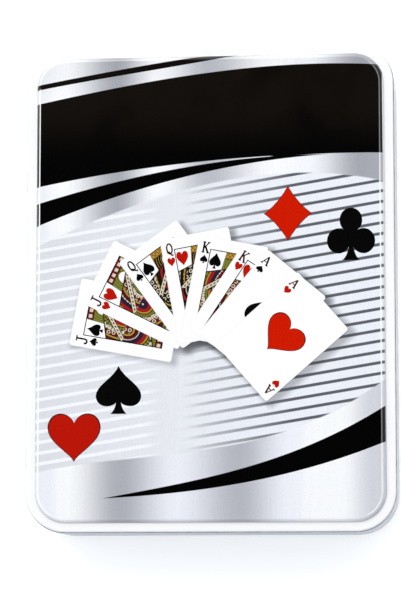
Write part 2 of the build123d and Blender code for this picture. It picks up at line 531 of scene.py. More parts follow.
# Sizes of the print in millimetres.
printLayout = {
    "stripePitch": 2.884, "stripeRise": 0.1633, "stripeStart": 20.65, "whiteHalf": 0.46, "darkHalf": 0.41,
    "stripeSoft": 0.1, "fieldSoftness": 0.5, "bandSoftness": 0.14,
    # The next four values place the painted highlight line on the panel's shoulder: how far in, its half
    # width, its soft edge and its shift to the right.
    "highlightInset": 3.865, "beadHalf": 0.15, "beadSoft": 0.06, "highlightShift": 0.135,
    "shadowBlur": 2.4, "shadowShift": (1.5, -1.1), "shadowInset": (0.8, 0.5), "firstReach": 0.55,
    # places where something fades, from and to
    "thinStripes": (-20.0, 0.0), "whiteStripesEnd": (-11.0, -17.0), "greyStripesStart": (-10.0, -1.0),
    # On the next line, the last pair sets where the painted sheen on the black ink grows in, from low to
    # high.
    "gapStart": (15.5, 17.5), "topDims": (50.0, 59.0, 1.0, 0.93), "inkWarms": (34.0, 50.0),
    # On the next two lines, the values for the painted highlight line fade it out at the top left, top
    # right and bottom, and set its strength over ink and over silver.
    "highlightLeftTop": (55.0, 54.2), "highlightRightTop": (61.6, 58.6), "beadFoot": (-62.4, -60.8),
    "rimStart": (46.84, 47.0), "rimLean": 0.0035, "highlightOnInk": 0.2, "highlightOnSilver": 0.92,
    "grain": (3.2, 0.32, 0.24), "specks": (9.0, 0.16, 0.16),
}


def curveTerms(heights):
    # Cubic through four handle heights, as (start, slope, bend) and twist about the middle.
    first, second, third, last = heights
    start = (first + 3 * second + 3 * third + last) / 8
    slope = 3 * (last + third - second - first) / 8
    bend = 3 * (first - second - third + last) / 8
    return (start, slope, bend), (last - 3 * third + 3 * second - first) / 8


def tonesAcross(ramped, tones, tint=(0, 0, 0), interpolation="LINEAR"):
    # Ramp over the tin's width. A tone is a whole colour, or one level with a cool tint.
    stops = []
    for at, tone in tones:
        levels = tone if isinstance(tone, tuple) else [min(tone + shift, 255) for shift in tint]
        stops.append((at / tinOutline["width"] + 0.5, paint(*levels)))
    return addRamp(ramped, stops, interpolation)


def makeFacePrint():
    material, surface, position = startMaterial("lidFacePrint")
    x, y = splitVector(position)[:2]
    across = calc("DIVIDE", x, tinOutline["width"] / 2)
    ramped = sloped(x, 1 / tinOutline["width"], 0.5)
    tones, layout = printTones, printLayout

    def band(name, softness=layout["bandSoftness"]):
        upper, lower = (curveTerms(edge) for edge in printEdges[name])
        return useGroup(sweptBand, across=across, up=y, upperEdge=upper[0], upperTwist=upper[1],
                        lowerEdge=lower[0], lowerTwist=lower[1], softness=softness)

    # silver ground, then the striped field
    lower, upper = (tonesAcross(ramped, tones[key], tones["silverTint"], "EASE")
                    for key in ("lowerSilver", "upperSilver"))
    field, aboveLow = band("stripeField", layout["fieldSoftness"])
    silver = mixColour(aboveLow, lower, upper)
    ground = mixColour(field, silver, tonesAcross(ramped, tones["field"]))
    along = minus(sloped(x, -layout["stripeRise"], y), layout["stripeStart"])
    offLine = calc("ABSOLUTE", wrapped(along, layout["stripePitch"] / 2))
    half = ease(x, *layout["thinStripes"], layout["whiteHalf"], layout["darkHalf"])
    stripe = ease(offLine, plus(half, layout["stripeSoft"]), minus(half, layout["stripeSoft"]))
    shown = largest(ease(x, *layout["whiteStripesEnd"]), ease(x, *layout["greyStripesStart"]))
    stripe = times(stripe, field, shown)
    ground = mixColour(stripe, ground, tonesAcross(ramped, tones["stripe"], tones["stripeTint"]))

    # printed shade under the fan, deeper where the cards lie on each other
    kept = []
    for number, card in enumerate(fanCards):
        reach = 1.0 if number else layout["firstReach"]
        shift = (*(reach * step for step in layout["shadowShift"]), 0.0)
        halfSize = (*(side / 2 - less for side, less in zip(card["size"], layout["shadowInset"])), 0.0)
        shade = useGroup(cardShadow, vector=calcVector("SUBTRACT", joinVector(x, y), shift),
                         centre=(*card["middle"], 0.0), tilt=math.radians(90 - card["tilt"]),
                         halfSize=halfSize, blur=layout["shadowBlur"])["Shade"]
        kept.append(sloped(shade, -card["shade"], 1.0))
    ground = mixColour(minus(1.0, times(*kept)), ground, paint(*tones["fanShade"]))

    # flakes in the silver, then the black bands, with a painted warm sheen in patches that grows towards
    # the top
    grain = addGrain(position, *layout["grain"])
    ground = lighten(ground, plus(grain["Grain"], ease(y, *layout["topDims"])))
    closed = times(band("closedGap")[0], ease(x, *layout["gapStart"]))
    ink = largest(*(band(name)[0] for name in ("thinBand", "wideBand", "secondBand", "lowSwoosh")), closed)
    # painted sheen: warm patches laid over the black ink, stronger towards the top
    inkSheenMask = times(ease(addNoise(position, 0.05, 3.0), 0.25, 0.55, 0.3, 1.0), ease(y, *layout["inkWarms"]))
    colour = mixColour(ink, ground, mixColour(inkSheenMask, paint(*tones["blackInk"]), paint(*tones["warmInk"])))

    # painted highlight: a bright line on the panel's shoulder, hidden at the top left, and faint over the
    # ink at the right
    shifted = calcVector("ADD", position, (layout["highlightShift"], 0.0, 0.0))
    offHighlight = apart(useGroup(wallInset, vector=shifted)["Inset"], layout["highlightInset"])
    bead = within(offHighlight, layout["beadHalf"], layout["beadSoft"])
    right = over(x, 0.0)
    upTo = largest(ease(y, *layout["highlightLeftTop"]), times(ease(y, *layout["highlightRightTop"]), right))
    strength = mixValue(times(ink, right), layout["highlightOnSilver"], layout["highlightOnInk"])
    colour = mixColour(times(bead, upTo, ease(y, *layout["beadFoot"]), strength), colour,
                       paint(*tones["beadLine"]))
    rim = ease(sloped(y, layout["rimLean"], x), *layout["rimStart"])
    colour = mixColour(rim, colour, paint(*tones["rim"]))
    specks = addSpecks(position, *layout["specks"])
    colour = mixColour(times(specks, 0.5), colour, paint(*tones["speck"]))

    plain = minus(1.0, largest(ink, field))
    rough = mixValue(ink, sloped(grain["Grain"], 0.8, 0.34), 0.14)
    peel = addBump(addNoise(position, 0.9), 0.12, 0.0001)
    finishWith(surface, grain, sloped(specks, 0.3, rough), (0.05, 0.00003), peel, baseColor=colour,
               metallic=times(plain, 0.1), coatWeight=mixValue(ink, 1.0, 0.2), coatRoughness=0.07)
    surface.inputs["Specular IOR Level"].default_value = 0.22
    return material


lidFace = makePanelSkin(printSizes, makeFacePrint())
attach(lidFace, "lid")
print("printed face of the lid:", len(lidFace.data.polygons), "faces")

# Coated tinplate: white outside, bare bright metal where no coat was laid

sheetLooks = {
    "lid": {"coat": (250, 251, 252), "coatTo": 30.0, "hemTop": 14.15, "upsideFrom": -1.0,
            "coatLeft": -60.0},
    "base": {"coat": (245, 247, 251), "coatTo": 12.5, "hemTop": -1.0, "upsideFrom": 3.0,
             "coatLeft": -50.03},
}
# Besides the sheet's own tones: a blue-grey painted shade for upright walls that face away from the light,
# and a darker painted shade for the lid's top bend on that side.
sheetTones = {"wall": (217, 228, 243), "wear": (86, 96, 114), "speck": (188, 186, 180),
              "tin": (214, 213, 208), "darkTin": (196, 197, 198)}
# Directions of the painted shade on the top bend and on the walls, and the height above which the bend is
# shaded; the rest is grain, specks and patches.
sheetFinish = {"grain": (2.2, 0.8, 0.3), "specks": (7.0, 0.14, 0.2), "bendShadeAbove": 19.8,
               "shadedBendSide": (0.6, -0.8, 0.0), "coolSide": (0.3, -0.95, 0.0), "patchDepth": 7}


def makeSheet(name, look):
    material, surface, position = startMaterial(name)
    x, y, z = splitVector(position)
    normal = surfaceNormal(surface)
    tones = {key: paint(*tone) for key, tone in sheetTones.items()}

    # the coated side of the sheet looks away from the middle of the tin
    way = sloped(over(z, look["upsideFrom"]), 600.0, -300.0)
    outer = over(calcVector("DOT_PRODUCT", normal, joinVector(x, y, way)), 0.0)
    coated = times(largest(outer, calc("LESS_THAN", z, look["hemTop"])),
                   within(z, look["coatTo"], 0.1), over(x, look["coatLeft"]))
    # painted shade: a dark line along the lid's top bend, on the side that faces away from the light
    wear = useGroup(bendWear, normal=normal, vector=position, slope=0.6, spread=0.32, breakup=0.2,
                    fineness=0.5)
    awayFromLight = ease(calcVector("DOT_PRODUCT", normal, sheetFinish["shadedBendSide"]), -0.1, 0.35, 0.2, 1.0)
    edgeShade = times(wear["Mask"], over(z, sheetFinish["bendShadeAbove"]), awayFromLight)
    specks = addSpecks(position, *sheetFinish["specks"])
    patchy = addNoise(position, 0.12, 3.0)
    dull = paint(*(tone - sheetFinish["patchDepth"] for tone in look["coat"]))
    white = mixColour(patchy, paint(*look["coat"]), dull)
    # painted shade: upright walls that face away from the light turn a darker blue-grey
    steep = ease(levelness(normal), 0.5, 0.2)
    shadedWall = ease(calcVector("DOT_PRODUCT", normal, sheetFinish["coolSide"]), 0.2, 0.9, 0.3, 1.0)
    white = mixColour(times(steep, shadedWall), white, tones["wall"])
    white = mixColour(edgeShade, white, tones["wear"])
    white = mixColour(times(specks, 0.4), white, tones["speck"])

    grain = addGrain(position, *sheetFinish["grain"])
    tin = mixColour(addNoise(position, 0.25), tones["tin"], tones["darkTin"])
    tin = lighten(tin, plus(grain["Grain"], 1.0))
    rough = mixValue(coated, sloped(grain["Grain"], 0.7, 0.27), sloped(patchy, 0.03, 0.275))
    peel = addBump(addNoise(position, 0.7), 0.15, 0.0001)
    finishWith(surface, grain, rough, (0.06, 0.00003), peel, baseColor=mixColour(coated, tin, white),
               metallic=largest(minus(1.0, coated), times(edgeShade, 0.3)),
               coatWeight=times(coated, 0.6), coatRoughness=0.06)
    return material


# The lighter grey is a painted highlight along the tray's bends.
trayFinish = {"black": (26, 26, 28), "charcoal": (38, 38, 40), "worn": (84, 84, 88),
              "speck": (170, 168, 162), "roughness": 0.42, "grain": (5.0, 0.1, 0.5),
              "specks": (4.0, 0.16, 0.35)}


def makeTrayPlastic():
    material, surface, position = startMaterial("trayPlastic")
    look = trayFinish
    grain = addGrain(position, *look["grain"])
    # painted highlight: the tray's bends turn a lighter grey
    wear = useGroup(bendWear, normal=surfaceNormal(surface), vector=position, slope=0.7, spread=0.35,
                    breakup=0.5, fineness=0.4)["Mask"]
    specks = addSpecks(position, *look["specks"])
    colour = mixColour(addNoise(position, 0.06, 3.0), paint(*look["black"]), paint(*look["charcoal"]))
    colour = mixColour(times(wear, 0.35), colour, paint(*look["worn"]))
    colour = mixColour(times(specks, 0.45), colour, paint(*look["speck"]))
    waves = addBump(addNoise(position, 0.2), 0.25, 0.0004)
    rough = sloped(wear, -0.12, sloped(grain["Grain"], 0.3, look["roughness"]))
    finishWith(surface, grain, rough, (0.25, 0.00005), waves, baseColor=colour)
    return material


wireFinish = {"steel": (176, 178, 182), "stain": (134, 134, 136), "grain": (6.0, 0.9, 0.5)}


def makeWireSteel():
    material, surface, position = startMaterial("hingeSteel")
    look = wireFinish
    grain = addGrain(position, *look["grain"])
    steel = mixColour(addNoise(position, 0.8, 3.0), paint(*look["steel"]), paint(*look["stain"]))
    finishWith(surface, grain, (0.5, 0.3), (0.2, 0.00002), metallic=1.0,
               baseColor=lighten(steel, plus(grain["Grain"], 1.0)))
    return material


nodeFinishes = {
    "lid_shell": makeSheet("lidSheet", sheetLooks["lid"]),
    "base_shell": makeSheet("baseSheet", sheetLooks["base"]),
    "card_tray": makeTrayPlastic(),
}
nodeFinishes["lower_hinge_pin"] = nodeFinishes["upper_hinge_pin"] = makeWireSteel()
for name, material in nodeFinishes.items():
    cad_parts[name].data.materials[0] = material
print("finishes laid on", len(nodeFinishes), "solids")

# Outlines of the card marks, one unit wide and high, anticlockwise


def bendThrough(*knots, steps=9):
    # Points along cubic curves: each knot after the first is (handle, handle, end).
    points = [knots[0]]
    start = knots[0]
    for first, second, end in knots[1:]:
        for step in range(1, steps + 1):
            t = step / steps
            weights = ((1 - t) ** 3, 3 * t * (1 - t) ** 2, 3 * t * t * (1 - t), t ** 3)
            corners = (start, first, second, end)
            points.append(tuple(sum(w * c[i] for w, c in zip(weights, corners)) for i in range(2)))
        start = end
    return points


def mirrored(half):
    # half runs up the right side, from one point on the middle line to another.
    return half + [(-x, y) for x, y in reversed(half[1:-1])]


def circleOutline(x, y, radius, count=28):
    turns = [2 * math.pi * step / count for step in range(count)]
    return [(x + radius * math.cos(a), y + radius * math.sin(a)) for a in turns]


stem = mirrored(bendThrough(
    (0.0, -0.5), ((0.06, -0.5), (0.12, -0.5), (0.18, -0.5)),
    ((0.1, -0.43), (0.06, -0.35), (0.03, -0.15)), ((0.01, -0.15), (0.005, -0.15), (0.0, -0.15))))
markOutlines = {
    "heart": [mirrored(bendThrough(
        (0.0, -0.5), ((0.07, -0.32), (0.5, -0.1), (0.5, 0.2)), ((0.5, 0.4), (0.37, 0.5), (0.26, 0.5)),
        ((0.14, 0.5), (0.04, 0.42), (0.0, 0.3))))],
    "diamond": [mirrored(bendThrough(
        (0.0, -0.5), ((0.13, -0.3), (0.3, -0.12), (0.5, 0.0)), ((0.3, 0.12), (0.13, 0.3), (0.0, 0.5))))],
    "spade": [mirrored(bendThrough(
        (0.0, -0.2), ((0.06, -0.31), (0.18, -0.345), (0.28, -0.34)),
        ((0.42, -0.33), (0.5, -0.23), (0.5, -0.12)), ((0.5, 0.1), (0.12, 0.24), (0.0, 0.5)))), stem],
    "club": [circleOutline(0.0, 0.27, 0.236), circleOutline(-0.258, -0.13, 0.242),
             circleOutline(0.258, -0.13, 0.242), circleOutline(0.0, 0.02, 0.14),
             circleOutline(0.0, -0.16, 0.11), stem],
}


def makePlacer(middle, tilt, offset=(0.0, 0.0), size=(1.0, 1.0), turned=False):
    # Carries a mark from its own square to its card: tilt is the way the card's top points.
    sine, cosine = math.sin(math.radians(tilt)), math.cos(math.radians(tilt))
    flip = -1.0 if turned else 1.0

    def place(point):
        u, v = (flip * (offset[i] + point[i] * size[i]) for i in range(2))
        return (middle[0] + u * sine + v * cosine, middle[1] - u * cosine + v * sine)
    return place


def joinRings(mesh, low, high):
    for i in range(len(low)):
        j = (i + 1) % len(low)
        mesh.faces.new((low[i], low[j], high[j], high[i]))


def addSlab(mesh, outline, bottom, top):
    low, high = ([mesh.verts.new((x * mm, y * mm, height * mm)) for x, y in outline]
                 for height in (bottom, top))
    mesh.faces.new(high)
    mesh.faces.new(low[::-1])
    joinRings(mesh, low, high)
    return low + high


def addRibbon(mesh, points, width, bottom, top, closed=False):
    # Flat stroke of even width along points, with mitred corners.
    count = len(points)
    stacks = []
    for i, point in enumerate(points):
        before = points[i - 1] if closed or i else None
        after = points[(i + 1) % count] if closed or i < count - 1 else None
        ways = [(Vector(end) - Vector(start)).normalized()
                for start, end in ((before, point), (point, after)) if start and end]
        along = sum(ways, Vector((0, 0))).normalized()
        normal = Vector((-along.y, along.x))
        reach = normal * (width / 2 / max(normal.dot(Vector((-ways[0].y, ways[0].x))), 0.4))
        left, right = Vector(point) + reach, Vector(point) - reach
        stacks.append([mesh.verts.new((p.x * mm, p.y * mm, h * mm))
                       for p, h in ((left, bottom), (right, bottom), (right, top), (left, top))])
    for i in range(count if closed else count - 1):
        joinRings(mesh, stacks[(i + 1) % count], stacks[i])
    if not closed:
        mesh.faces.new(stacks[0])
        mesh.faces.new(stacks[-1][::-1])


def keepPiece(name, mesh, material):
    data = bpy.data.meshes.new(name)
    bmesh.ops.recalc_face_normals(mesh, faces=mesh.faces)
    mesh.to_mesh(data)
    mesh.free()
    data.materials.append(material)
    piece = addObject(name, data)
    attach(piece, "lid")


def addMark(mesh, suit, placer, bottom, thickness):
    for number, outline in enumerate(markOutlines[suit]):
        addSlab(mesh, [placer(point) for point in outline], bottom, bottom + thickness - 0.0004 * number)


# Inks, card stock and the court ornament

inkTones = {
    "redInk": ((206, 28, 0), (194, 22, 0)), "darkRedInk": ((84, 18, 24), (66, 14, 18)),
    "deepRedInk": ((186, 22, 6), (174, 18, 6)), "blackInk": ((6, 6, 6), (3, 3, 3)),
}
inkGrain = (3.0, 0.2, 0.5)
stockFinish = {"white": (252, 252, 252), "edgeLine": (206, 208, 214), "grain": (4.0, 0.3, 0.05)}


def makeInk(name):
    material, surface, position = startMaterial(name)
    light, deep = (paint(*tone) for tone in inkTones[name])
    grain = addGrain(position, *inkGrain)
    finishWith(surface, grain, (0.1, 0.15), (0.05, 0.00002), coatWeight=0.2, coatRoughness=0.07,
               baseColor=mixColour(ease(grain["Height"], 0.3, 0.7), light, deep))
    surface.inputs["Specular IOR Level"].default_value = 0.3
    return material


def makePrintedStock():
    # White of the printed cards, with a fine grey line round each.
    material, surface, position = startMaterial("printedStock")
    halfSize = (fanSizes["width"] / 2, fanSizes["length"] / 2, 0.0)
    px, py = splitVector(pastSides(readAttribute(surface, "cardPlace")["Vector"], halfSize))[:2]
    edge = ease(largest(px, py), -0.22, -0.04)
    grain = addGrain(position, *stockFinish["grain"])
    white = lighten(paint(*stockFinish["white"]), plus(grain["Grain"], 1.0))
    finishWith(surface, grain, (0.5, 0.34), (0.04, 0.00002), coatWeight=0.5, coatRoughness=0.07,
               baseColor=mixColour(times(edge, 0.5), white, paint(*stockFinish["edgeLine"])))
    return material


courtTones = {"black": (18, 12, 14), "white": (250, 250, 250), "cream": (214, 204, 180),
              "red": (152, 26, 26), "wine": (98, 16, 26), "gold": (178, 142, 48), "navy": (38, 32, 72),
              "olive": (124, 126, 46)}
# Rings of the robe, from the start of each band; the second set is for the darker robes.
brightRings = [(0.0, "wine"), (0.15, "black"), (0.18, "gold"), (0.24, "black"), (0.27, "wine"),
               (0.37, "cream"), (0.41, "black"), (0.45, "navy"), (0.52, "black"), (0.55, "red"),
               (0.68, "gold"), (0.73, "black"), (0.76, "olive"), (0.85, "black"), (0.89, "cream")]
darkRings = [(0.0, "black"), (0.22, "gold"), (0.28, "black"), (0.4, "cream"), (0.44, "black"),
             (0.55, "red"), (0.63, "black"), (0.8, "gold"), (0.84, "cream"), (0.88, "black")]
courtLook = {"halfWidth": 6.15, "halfLength": 10.75, "robeCentre": (2.8, 0.8), "bandRun": 0.145,
             "spokes": 22, "ringPitch": 1.4, "ringRadius": 0.4, "sashAt": 4.6, "sashHalf": 0.75,
             "sashLean": -0.8, "dotPitch": 0.84, "curlCentre": (1.6, 6.6), "shoulder": 6.4,
             "shoulderLean": 0.3, "crownFoot": 8.9, "towerRow": 9.8, "headLeft": -3.0, "headLean": -0.12,
             "robeSquash": 0.85, "ringShift": 0.14, "ringShare": 0.3, "curlSquash": 0.8,
             "strandTurns": 1.6, "latticeHalf": 0.6, "towerHalf": 0.8, "darkSeed": 0.93,
             "darkReach": 0.3, "grain": (5.0, 0.2, 0.3),
             # where a line or spot ends, and where it is at its full tone
             "spoke": (0.14, 0.08), "ring": (0.16, 0.08), "dot": (0.28, 0.2), "sashLine": (0.16, 0.1),
             "strand": (0.12, 0.06), "curl": (1.6, 1.5), "line": (0.2, 0.12), "lattice": (0.48, 0.54),
             "tower": (0.3, 0.36), "towerHeight": (0.5, 0.44)}


def makeCourtOrnament():
    # Two-way ornament in court colours: robes of ringed arcs, a spotted sash, curls and a crown
    # block on white. The lower half is the upper half turned about the middle.
    material, surface, position = startMaterial("courtOrnament")
    tones = {name: paint(*tone) for name, tone in courtTones.items()}
    black, white, cream, gold = (tones[name] for name in ("black", "white", "cream", "gold"))
    look = courtLook
    u, v, seed = splitVector(readAttribute(surface, "cardPlace")["Vector"])
    way = calc("SIGN", plus(v, 0.0001))
    u, v = times(u, way), times(v, way)

    def ringColours(rings):
        return addRamp(bands, [(start, tones[name]) for start, name in rings], "CONSTANT")

    # robe: arcs about a point at the right, with spokes and small rings in some of them
    fromX, fromY = (minus(value, centre) for value, centre in zip((u, v), look["robeCentre"]))
    arcs = sloped(reachOf(fromX, times(fromY, look["robeSquash"])), look["bandRun"], seed)
    bands = calc("FRACT", arcs)
    sombre = calc("LESS_THAN", apart(seed, look["darkSeed"]), look["darkReach"])
    robe = mixColour(sombre, ringColours(brightRings), ringColours(darkRings))
    spoke = calc("PINGPONG", times(calc("ARCTAN2", fromY, fromX), look["spokes"] / math.pi), 0.5)
    spoke = times(ease(spoke, *look["spoke"]), over(calc("FRACT", times(arcs, 2.0)), 0.5))
    robe = mixColour(spoke, robe, black)
    half = look["ringPitch"] / 2
    ring = ease(apart(reachOf(wrapped(u, half), wrapped(v, half)), look["ringRadius"]), *look["ring"])
    ring = times(ring, calc("LESS_THAN", calc("FRACT", plus(arcs, look["ringShift"])), look["ringShare"]))
    robe = mixColour(ring, robe, cream)

    # spotted sash across the robe
    sashRun = sloped(u, look["sashLean"], v)
    offSash = apart(sashRun, look["sashAt"])
    dots = reachOf(wrapped(u, look["dotPitch"] / 2), minus(sashRun, look["sashAt"]))
    sash = ease(offSash, look["sashHalf"], look["sashHalf"] - 0.05)
    robe = mixColour(sash, robe, mixColour(ease(dots, *look["dot"]), cream, black))
    robe = mixColour(ease(apart(offSash, look["sashHalf"]), *look["sashLine"]), robe, black)

    # curls and crown block above the shoulders
    curlX, curlY = look["curlCentre"]
    curlReach = reachOf(minus(u, curlX), times(minus(v, curlY), look["curlSquash"]))
    strands = ease(calc("PINGPONG", times(curlReach, look["strandTurns"]), 0.5), *look["strand"])
    curls = mixColour(strands, mixColour(sombre, tones["olive"], black), mixColour(sombre, black, gold))
    head = mixColour(ease(curlReach, *look["curl"]), curls, white)
    lattice = largest(*(calc("PINGPONG", run, look["latticeHalf"]) for run in (plus(u, v), minus(u, v))))
    crown = mixColour(ease(lattice, *look["lattice"]), gold, tones["wine"])
    towers = times(ease(calc("PINGPONG", u, look["towerHalf"]), *look["tower"]),
                   ease(apart(v, look["towerRow"]), *look["towerHeight"]))
    crown = mixColour(over(seed, 0.5), mixColour(towers, tones["wine"], cream), crown)
    crown = mixColour(ease(apart(v, look["crownFoot"]), *look["line"]), crown, black)
    head = mixColour(ease(v, look["crownFoot"] - 0.05, look["crownFoot"]), head, crown)
    leftOfHead = within(sloped(v, look["headLean"], u), look["headLeft"], 0.05)
    head = mixColour(leftOfHead, head, white)
    shoulder = sloped(u, look["shoulderLean"], minus(look["shoulder"], v))
    colour = mixColour(ease(shoulder, -0.04, 0.04), head, robe)
    colour = mixColour(ease(calc("ABSOLUTE", shoulder), *look["line"]), colour, black)
    grain = addGrain(position, *look["grain"])
    finishWith(surface, grain, (0.2, 0.22), (0.04, 0.00002), baseColor=colour, coatWeight=0.4,
               coatRoughness=0.07)
    return material


redInk, darkRedInk, deepRedInk, blackInk = (makeInk(name) for name in inkTones)

# The fan itself


def cardBlank(tree, width, length, radius, thickness, cornerPoints=6):
    # One card about its own middle, marked with the place of each of its points in millimetres.
    outline = addRoundedRectangle(tree, width, length, radius, cornerPoints)
    card = thicken(tree, addNode(tree, "FillCurve", {"mode": "NGONS"}, curve=outline), thickness)
    local = calcVector("MULTIPLY", addNode(tree, "InputPosition"), (1000, 1000, 1000))
    return addNode(tree, "StoreNamedAttribute", {"data_type": "FLOAT_VECTOR", "domain": "POINT"},
                   geometry=card, name="cardPlace", value=local)


def buildFanTree():
    # One blank card for each point, turned by the point's tilt and lifted by its number.
    tree, given = newTree("cardFan", "width", "length", "cornerRadius", "cardThickness", "layer",
                          "material")
    spots, width, length, radius, thickness, layer, material = given
    lift = joinVector(0.0, 0.0, times(addNode(tree, "InputIndex"), layer))
    raised = addNode(tree, "SetPosition", geometry=addNode(tree, "MeshToPoints", mesh=spots), offset=lift)
    spin = joinVector(0.0, 0.0, addNode(tree, "InputNamedAttribute", name="tilt"))
    stretch = addNode(tree, "InputNamedAttribute", {"data_type": "FLOAT_VECTOR"}, name="stretch")
    spread = addNode(tree, "InstanceOnPoints", points=raised, rotation=spin, scale=stretch,
                     instance=cardBlank(tree, width, length, radius, thickness))
    return closeTree(tree, spread, material)


def fanPoints():
    mesh = bpy.data.meshes.new("fanPoints")
    ground = fanSizes["ground"] * mm
    mesh.from_pydata([(x * mm, y * mm, ground) for x, y in (card["middle"] for card in fanCards)], [], [])
    tilts = mesh.attributes.new("tilt", "FLOAT", "POINT").data
    tilts.foreach_set("value", [math.radians(card["tilt"] - 90) for card in fanCards])
    stretches = mesh.attributes.new("stretch", "FLOAT_VECTOR", "POINT").data
    for card, stretch in zip(fanCards, stretches):
        stretch.vector = (card["size"][0] / fanSizes["width"], card["size"][1] / fanSizes["length"], 1.0)
    return mesh


fanBlanks = growPiece(
    "fanCardBlanks", buildFanTree(), fanPoints(), material=makePrintedStock(),
    **inMetres(fanSizes, "width", "length", "cornerRadius", "cardThickness", "layer"))
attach(fanBlanks, "lid")

# Strokes of the rank letters and their widths, in millimetres about the letter's middle.
bowl = [(0.68 * math.cos(a * math.pi / 10), 0.25 + 1.3 * math.sin(a * math.pi / 10)) for a in range(20)]
rankStrokes = {
    "J": [([(0.3, 1.35), (0.3, -0.75), (0.12, -1.25), (-0.3, -1.42), (-0.75, -1.2), (-0.85, -0.7)], 0.46),
          ([(-0.4, 1.35), (1.0, 1.35)], 0.36)],
    "Q": [(bowl, 0.42), ([(-0.75, -0.75), (-0.2, -0.55), (0.15, -1.2), (0.5, -1.6), (0.78, -1.35)], 0.36)],
    "K": [([(-0.55, 1.35), (-0.55, -1.35)], 0.5), ([(-1.0, 1.35), (-0.1, 1.35)], 0.32),
          ([(-1.0, -1.35), (-0.1, -1.35)], 0.32), ([(-0.5, -0.25), (0.75, 1.35)], 0.32),
          ([(-0.12, 0.25), (0.85, -1.35)], 0.5), ([(0.4, 1.35), (1.15, 1.35)], 0.32),
          ([(0.45, -1.35), (1.25, -1.35)], 0.32)],
    "A": [([(-0.8, -1.2), (0.0, 1.3)], 0.28), ([(0.0, 1.3), (0.8, -1.2)], 0.48),
          ([(-0.5, -0.4), (0.5, -0.4)], 0.26), ([(-1.15, -1.2), (-0.45, -1.2)], 0.28),
          ([(0.4, -1.2), (1.2, -1.2)], 0.28)],
}
# Places of the marks from the middle of the print, and their sizes, by rank or by suit.
markPlaces = {
    "letter": {"J": (-7.55, 11.0), "Q": (-7.45, 10.9), "K": (-7.55, 11.05), "A": (-8.5, 12.05)},
    "small": {"J": (-7.55, 7.75), "Q": (-7.5, 7.5), "K": (-7.45, 7.9), "A": (-8.5, 9.25)},
    "smallSize": {"J": (2.15, 2.35), "Q": (2.1, 2.4), "K": (2.05, 2.35), "A": (2.1, 2.0)},
    "letterSize": {"J": (1.06, 1.06), "Q": (1.04, 1.05), "K": (0.92, 1.03), "A": (0.98, 0.93)},
    "court": {"spade": (-4.3, 7.95), "heart": (-4.35, 7.92)},
    "courtSize": {"spade": (3.15, 4.35), "heart": (3.2, 3.95)},
    "ace": {"spade": (0.15, 0.3), "heart": (-0.05, -0.1)},
    "aceSize": {"spade": (9.3, 11.4), "heart": (11.3, 9.75)},
    "frameLine": 0.24, "aceRim": 0.5, "inkGap": 0.0008, "layerGap": 0.0005, "courtStep": 0.37,
}


def printFan():
    courts, frames, black, red, redAce, redLetters = (bmesh.new() for number in range(6))
    marks = {"spade": black, "heart": red}
    letters = {"spade": black, "heart": redLetters}
    aces = {"spade": black, "heart": redAce}
    courtSpots = courts.verts.layers.float_vector.new("cardPlace")
    ink = fanSizes["inkThickness"]
    w, h = courtLook["halfWidth"], courtLook["halfLength"]
    corners = [(-w, -h), (w, -h), (w, h), (-w, h)]
    for number, card in enumerate(fanCards):
        top = fanSizes["ground"] + number * fanSizes["layer"] + fanSizes["cardThickness"]
        base = top + markPlaces["inkGap"]
        raised = base + ink + markPlaces["layerGap"]
        tilt, suit, rank = card["tilt"], card["suit"], card["rank"]
        middle = makePlacer(card["middle"], tilt)(card["print"])

        def placer(mark, key, turned=False):
            return makePlacer(middle, tilt, markPlaces[mark][key], markPlaces[mark + "Size"][key], turned)

        for turned in (False, True):
            addMark(marks[suit], suit, placer("small", rank, turned), base, ink)
            letter = placer("letter", rank, turned)
            for strokes, width in rankStrokes[rank]:
                addRibbon(letters[suit], [letter(point) for point in strokes], width, base, base + ink,
                          closed=strokes is bowl)
        if rank == "A":
            if suit == "heart":
                rim = [side + markPlaces["aceRim"] for side in markPlaces["aceSize"][suit]]
                rimPlace = makePlacer(middle, tilt, markPlaces["ace"][suit], rim)
                addMark(redLetters, suit, rimPlace, base, ink)
            addMark(aces[suit], suit, placer("ace", suit), raised, ink)
            continue
        place = makePlacer(middle, tilt)
        outline = [place(corner) for corner in corners]
        for vertex, corner in zip(addSlab(courts, outline, base, base + ink), corners * 2):
            vertex[courtSpots] = (*corner, markPlaces["courtStep"] * number)
        addRibbon(frames, outline, markPlaces["frameLine"], raised, base + 2 * ink, closed=True)
        for turned in (False, True):
            addMark(marks[suit], suit, placer("court", suit, turned), raised, ink)
    keepPiece("fanCourtPanels", courts, makeCourtOrnament())
    keepPiece("fanCardFrames", frames, blackInk)
    keepPiece("fanBlackMarks", black, blackInk)
    keepPiece("fanRedMarks", red, deepRedInk)
    keepPiece("fanRedAce", redAce, redInk)
    keepPiece("fanRedLetters", redLetters, darkRedInk)


printFan()
print("fan of", len(fanCards), "cards printed")

# The four large suit marks, and the layers of ink that print them

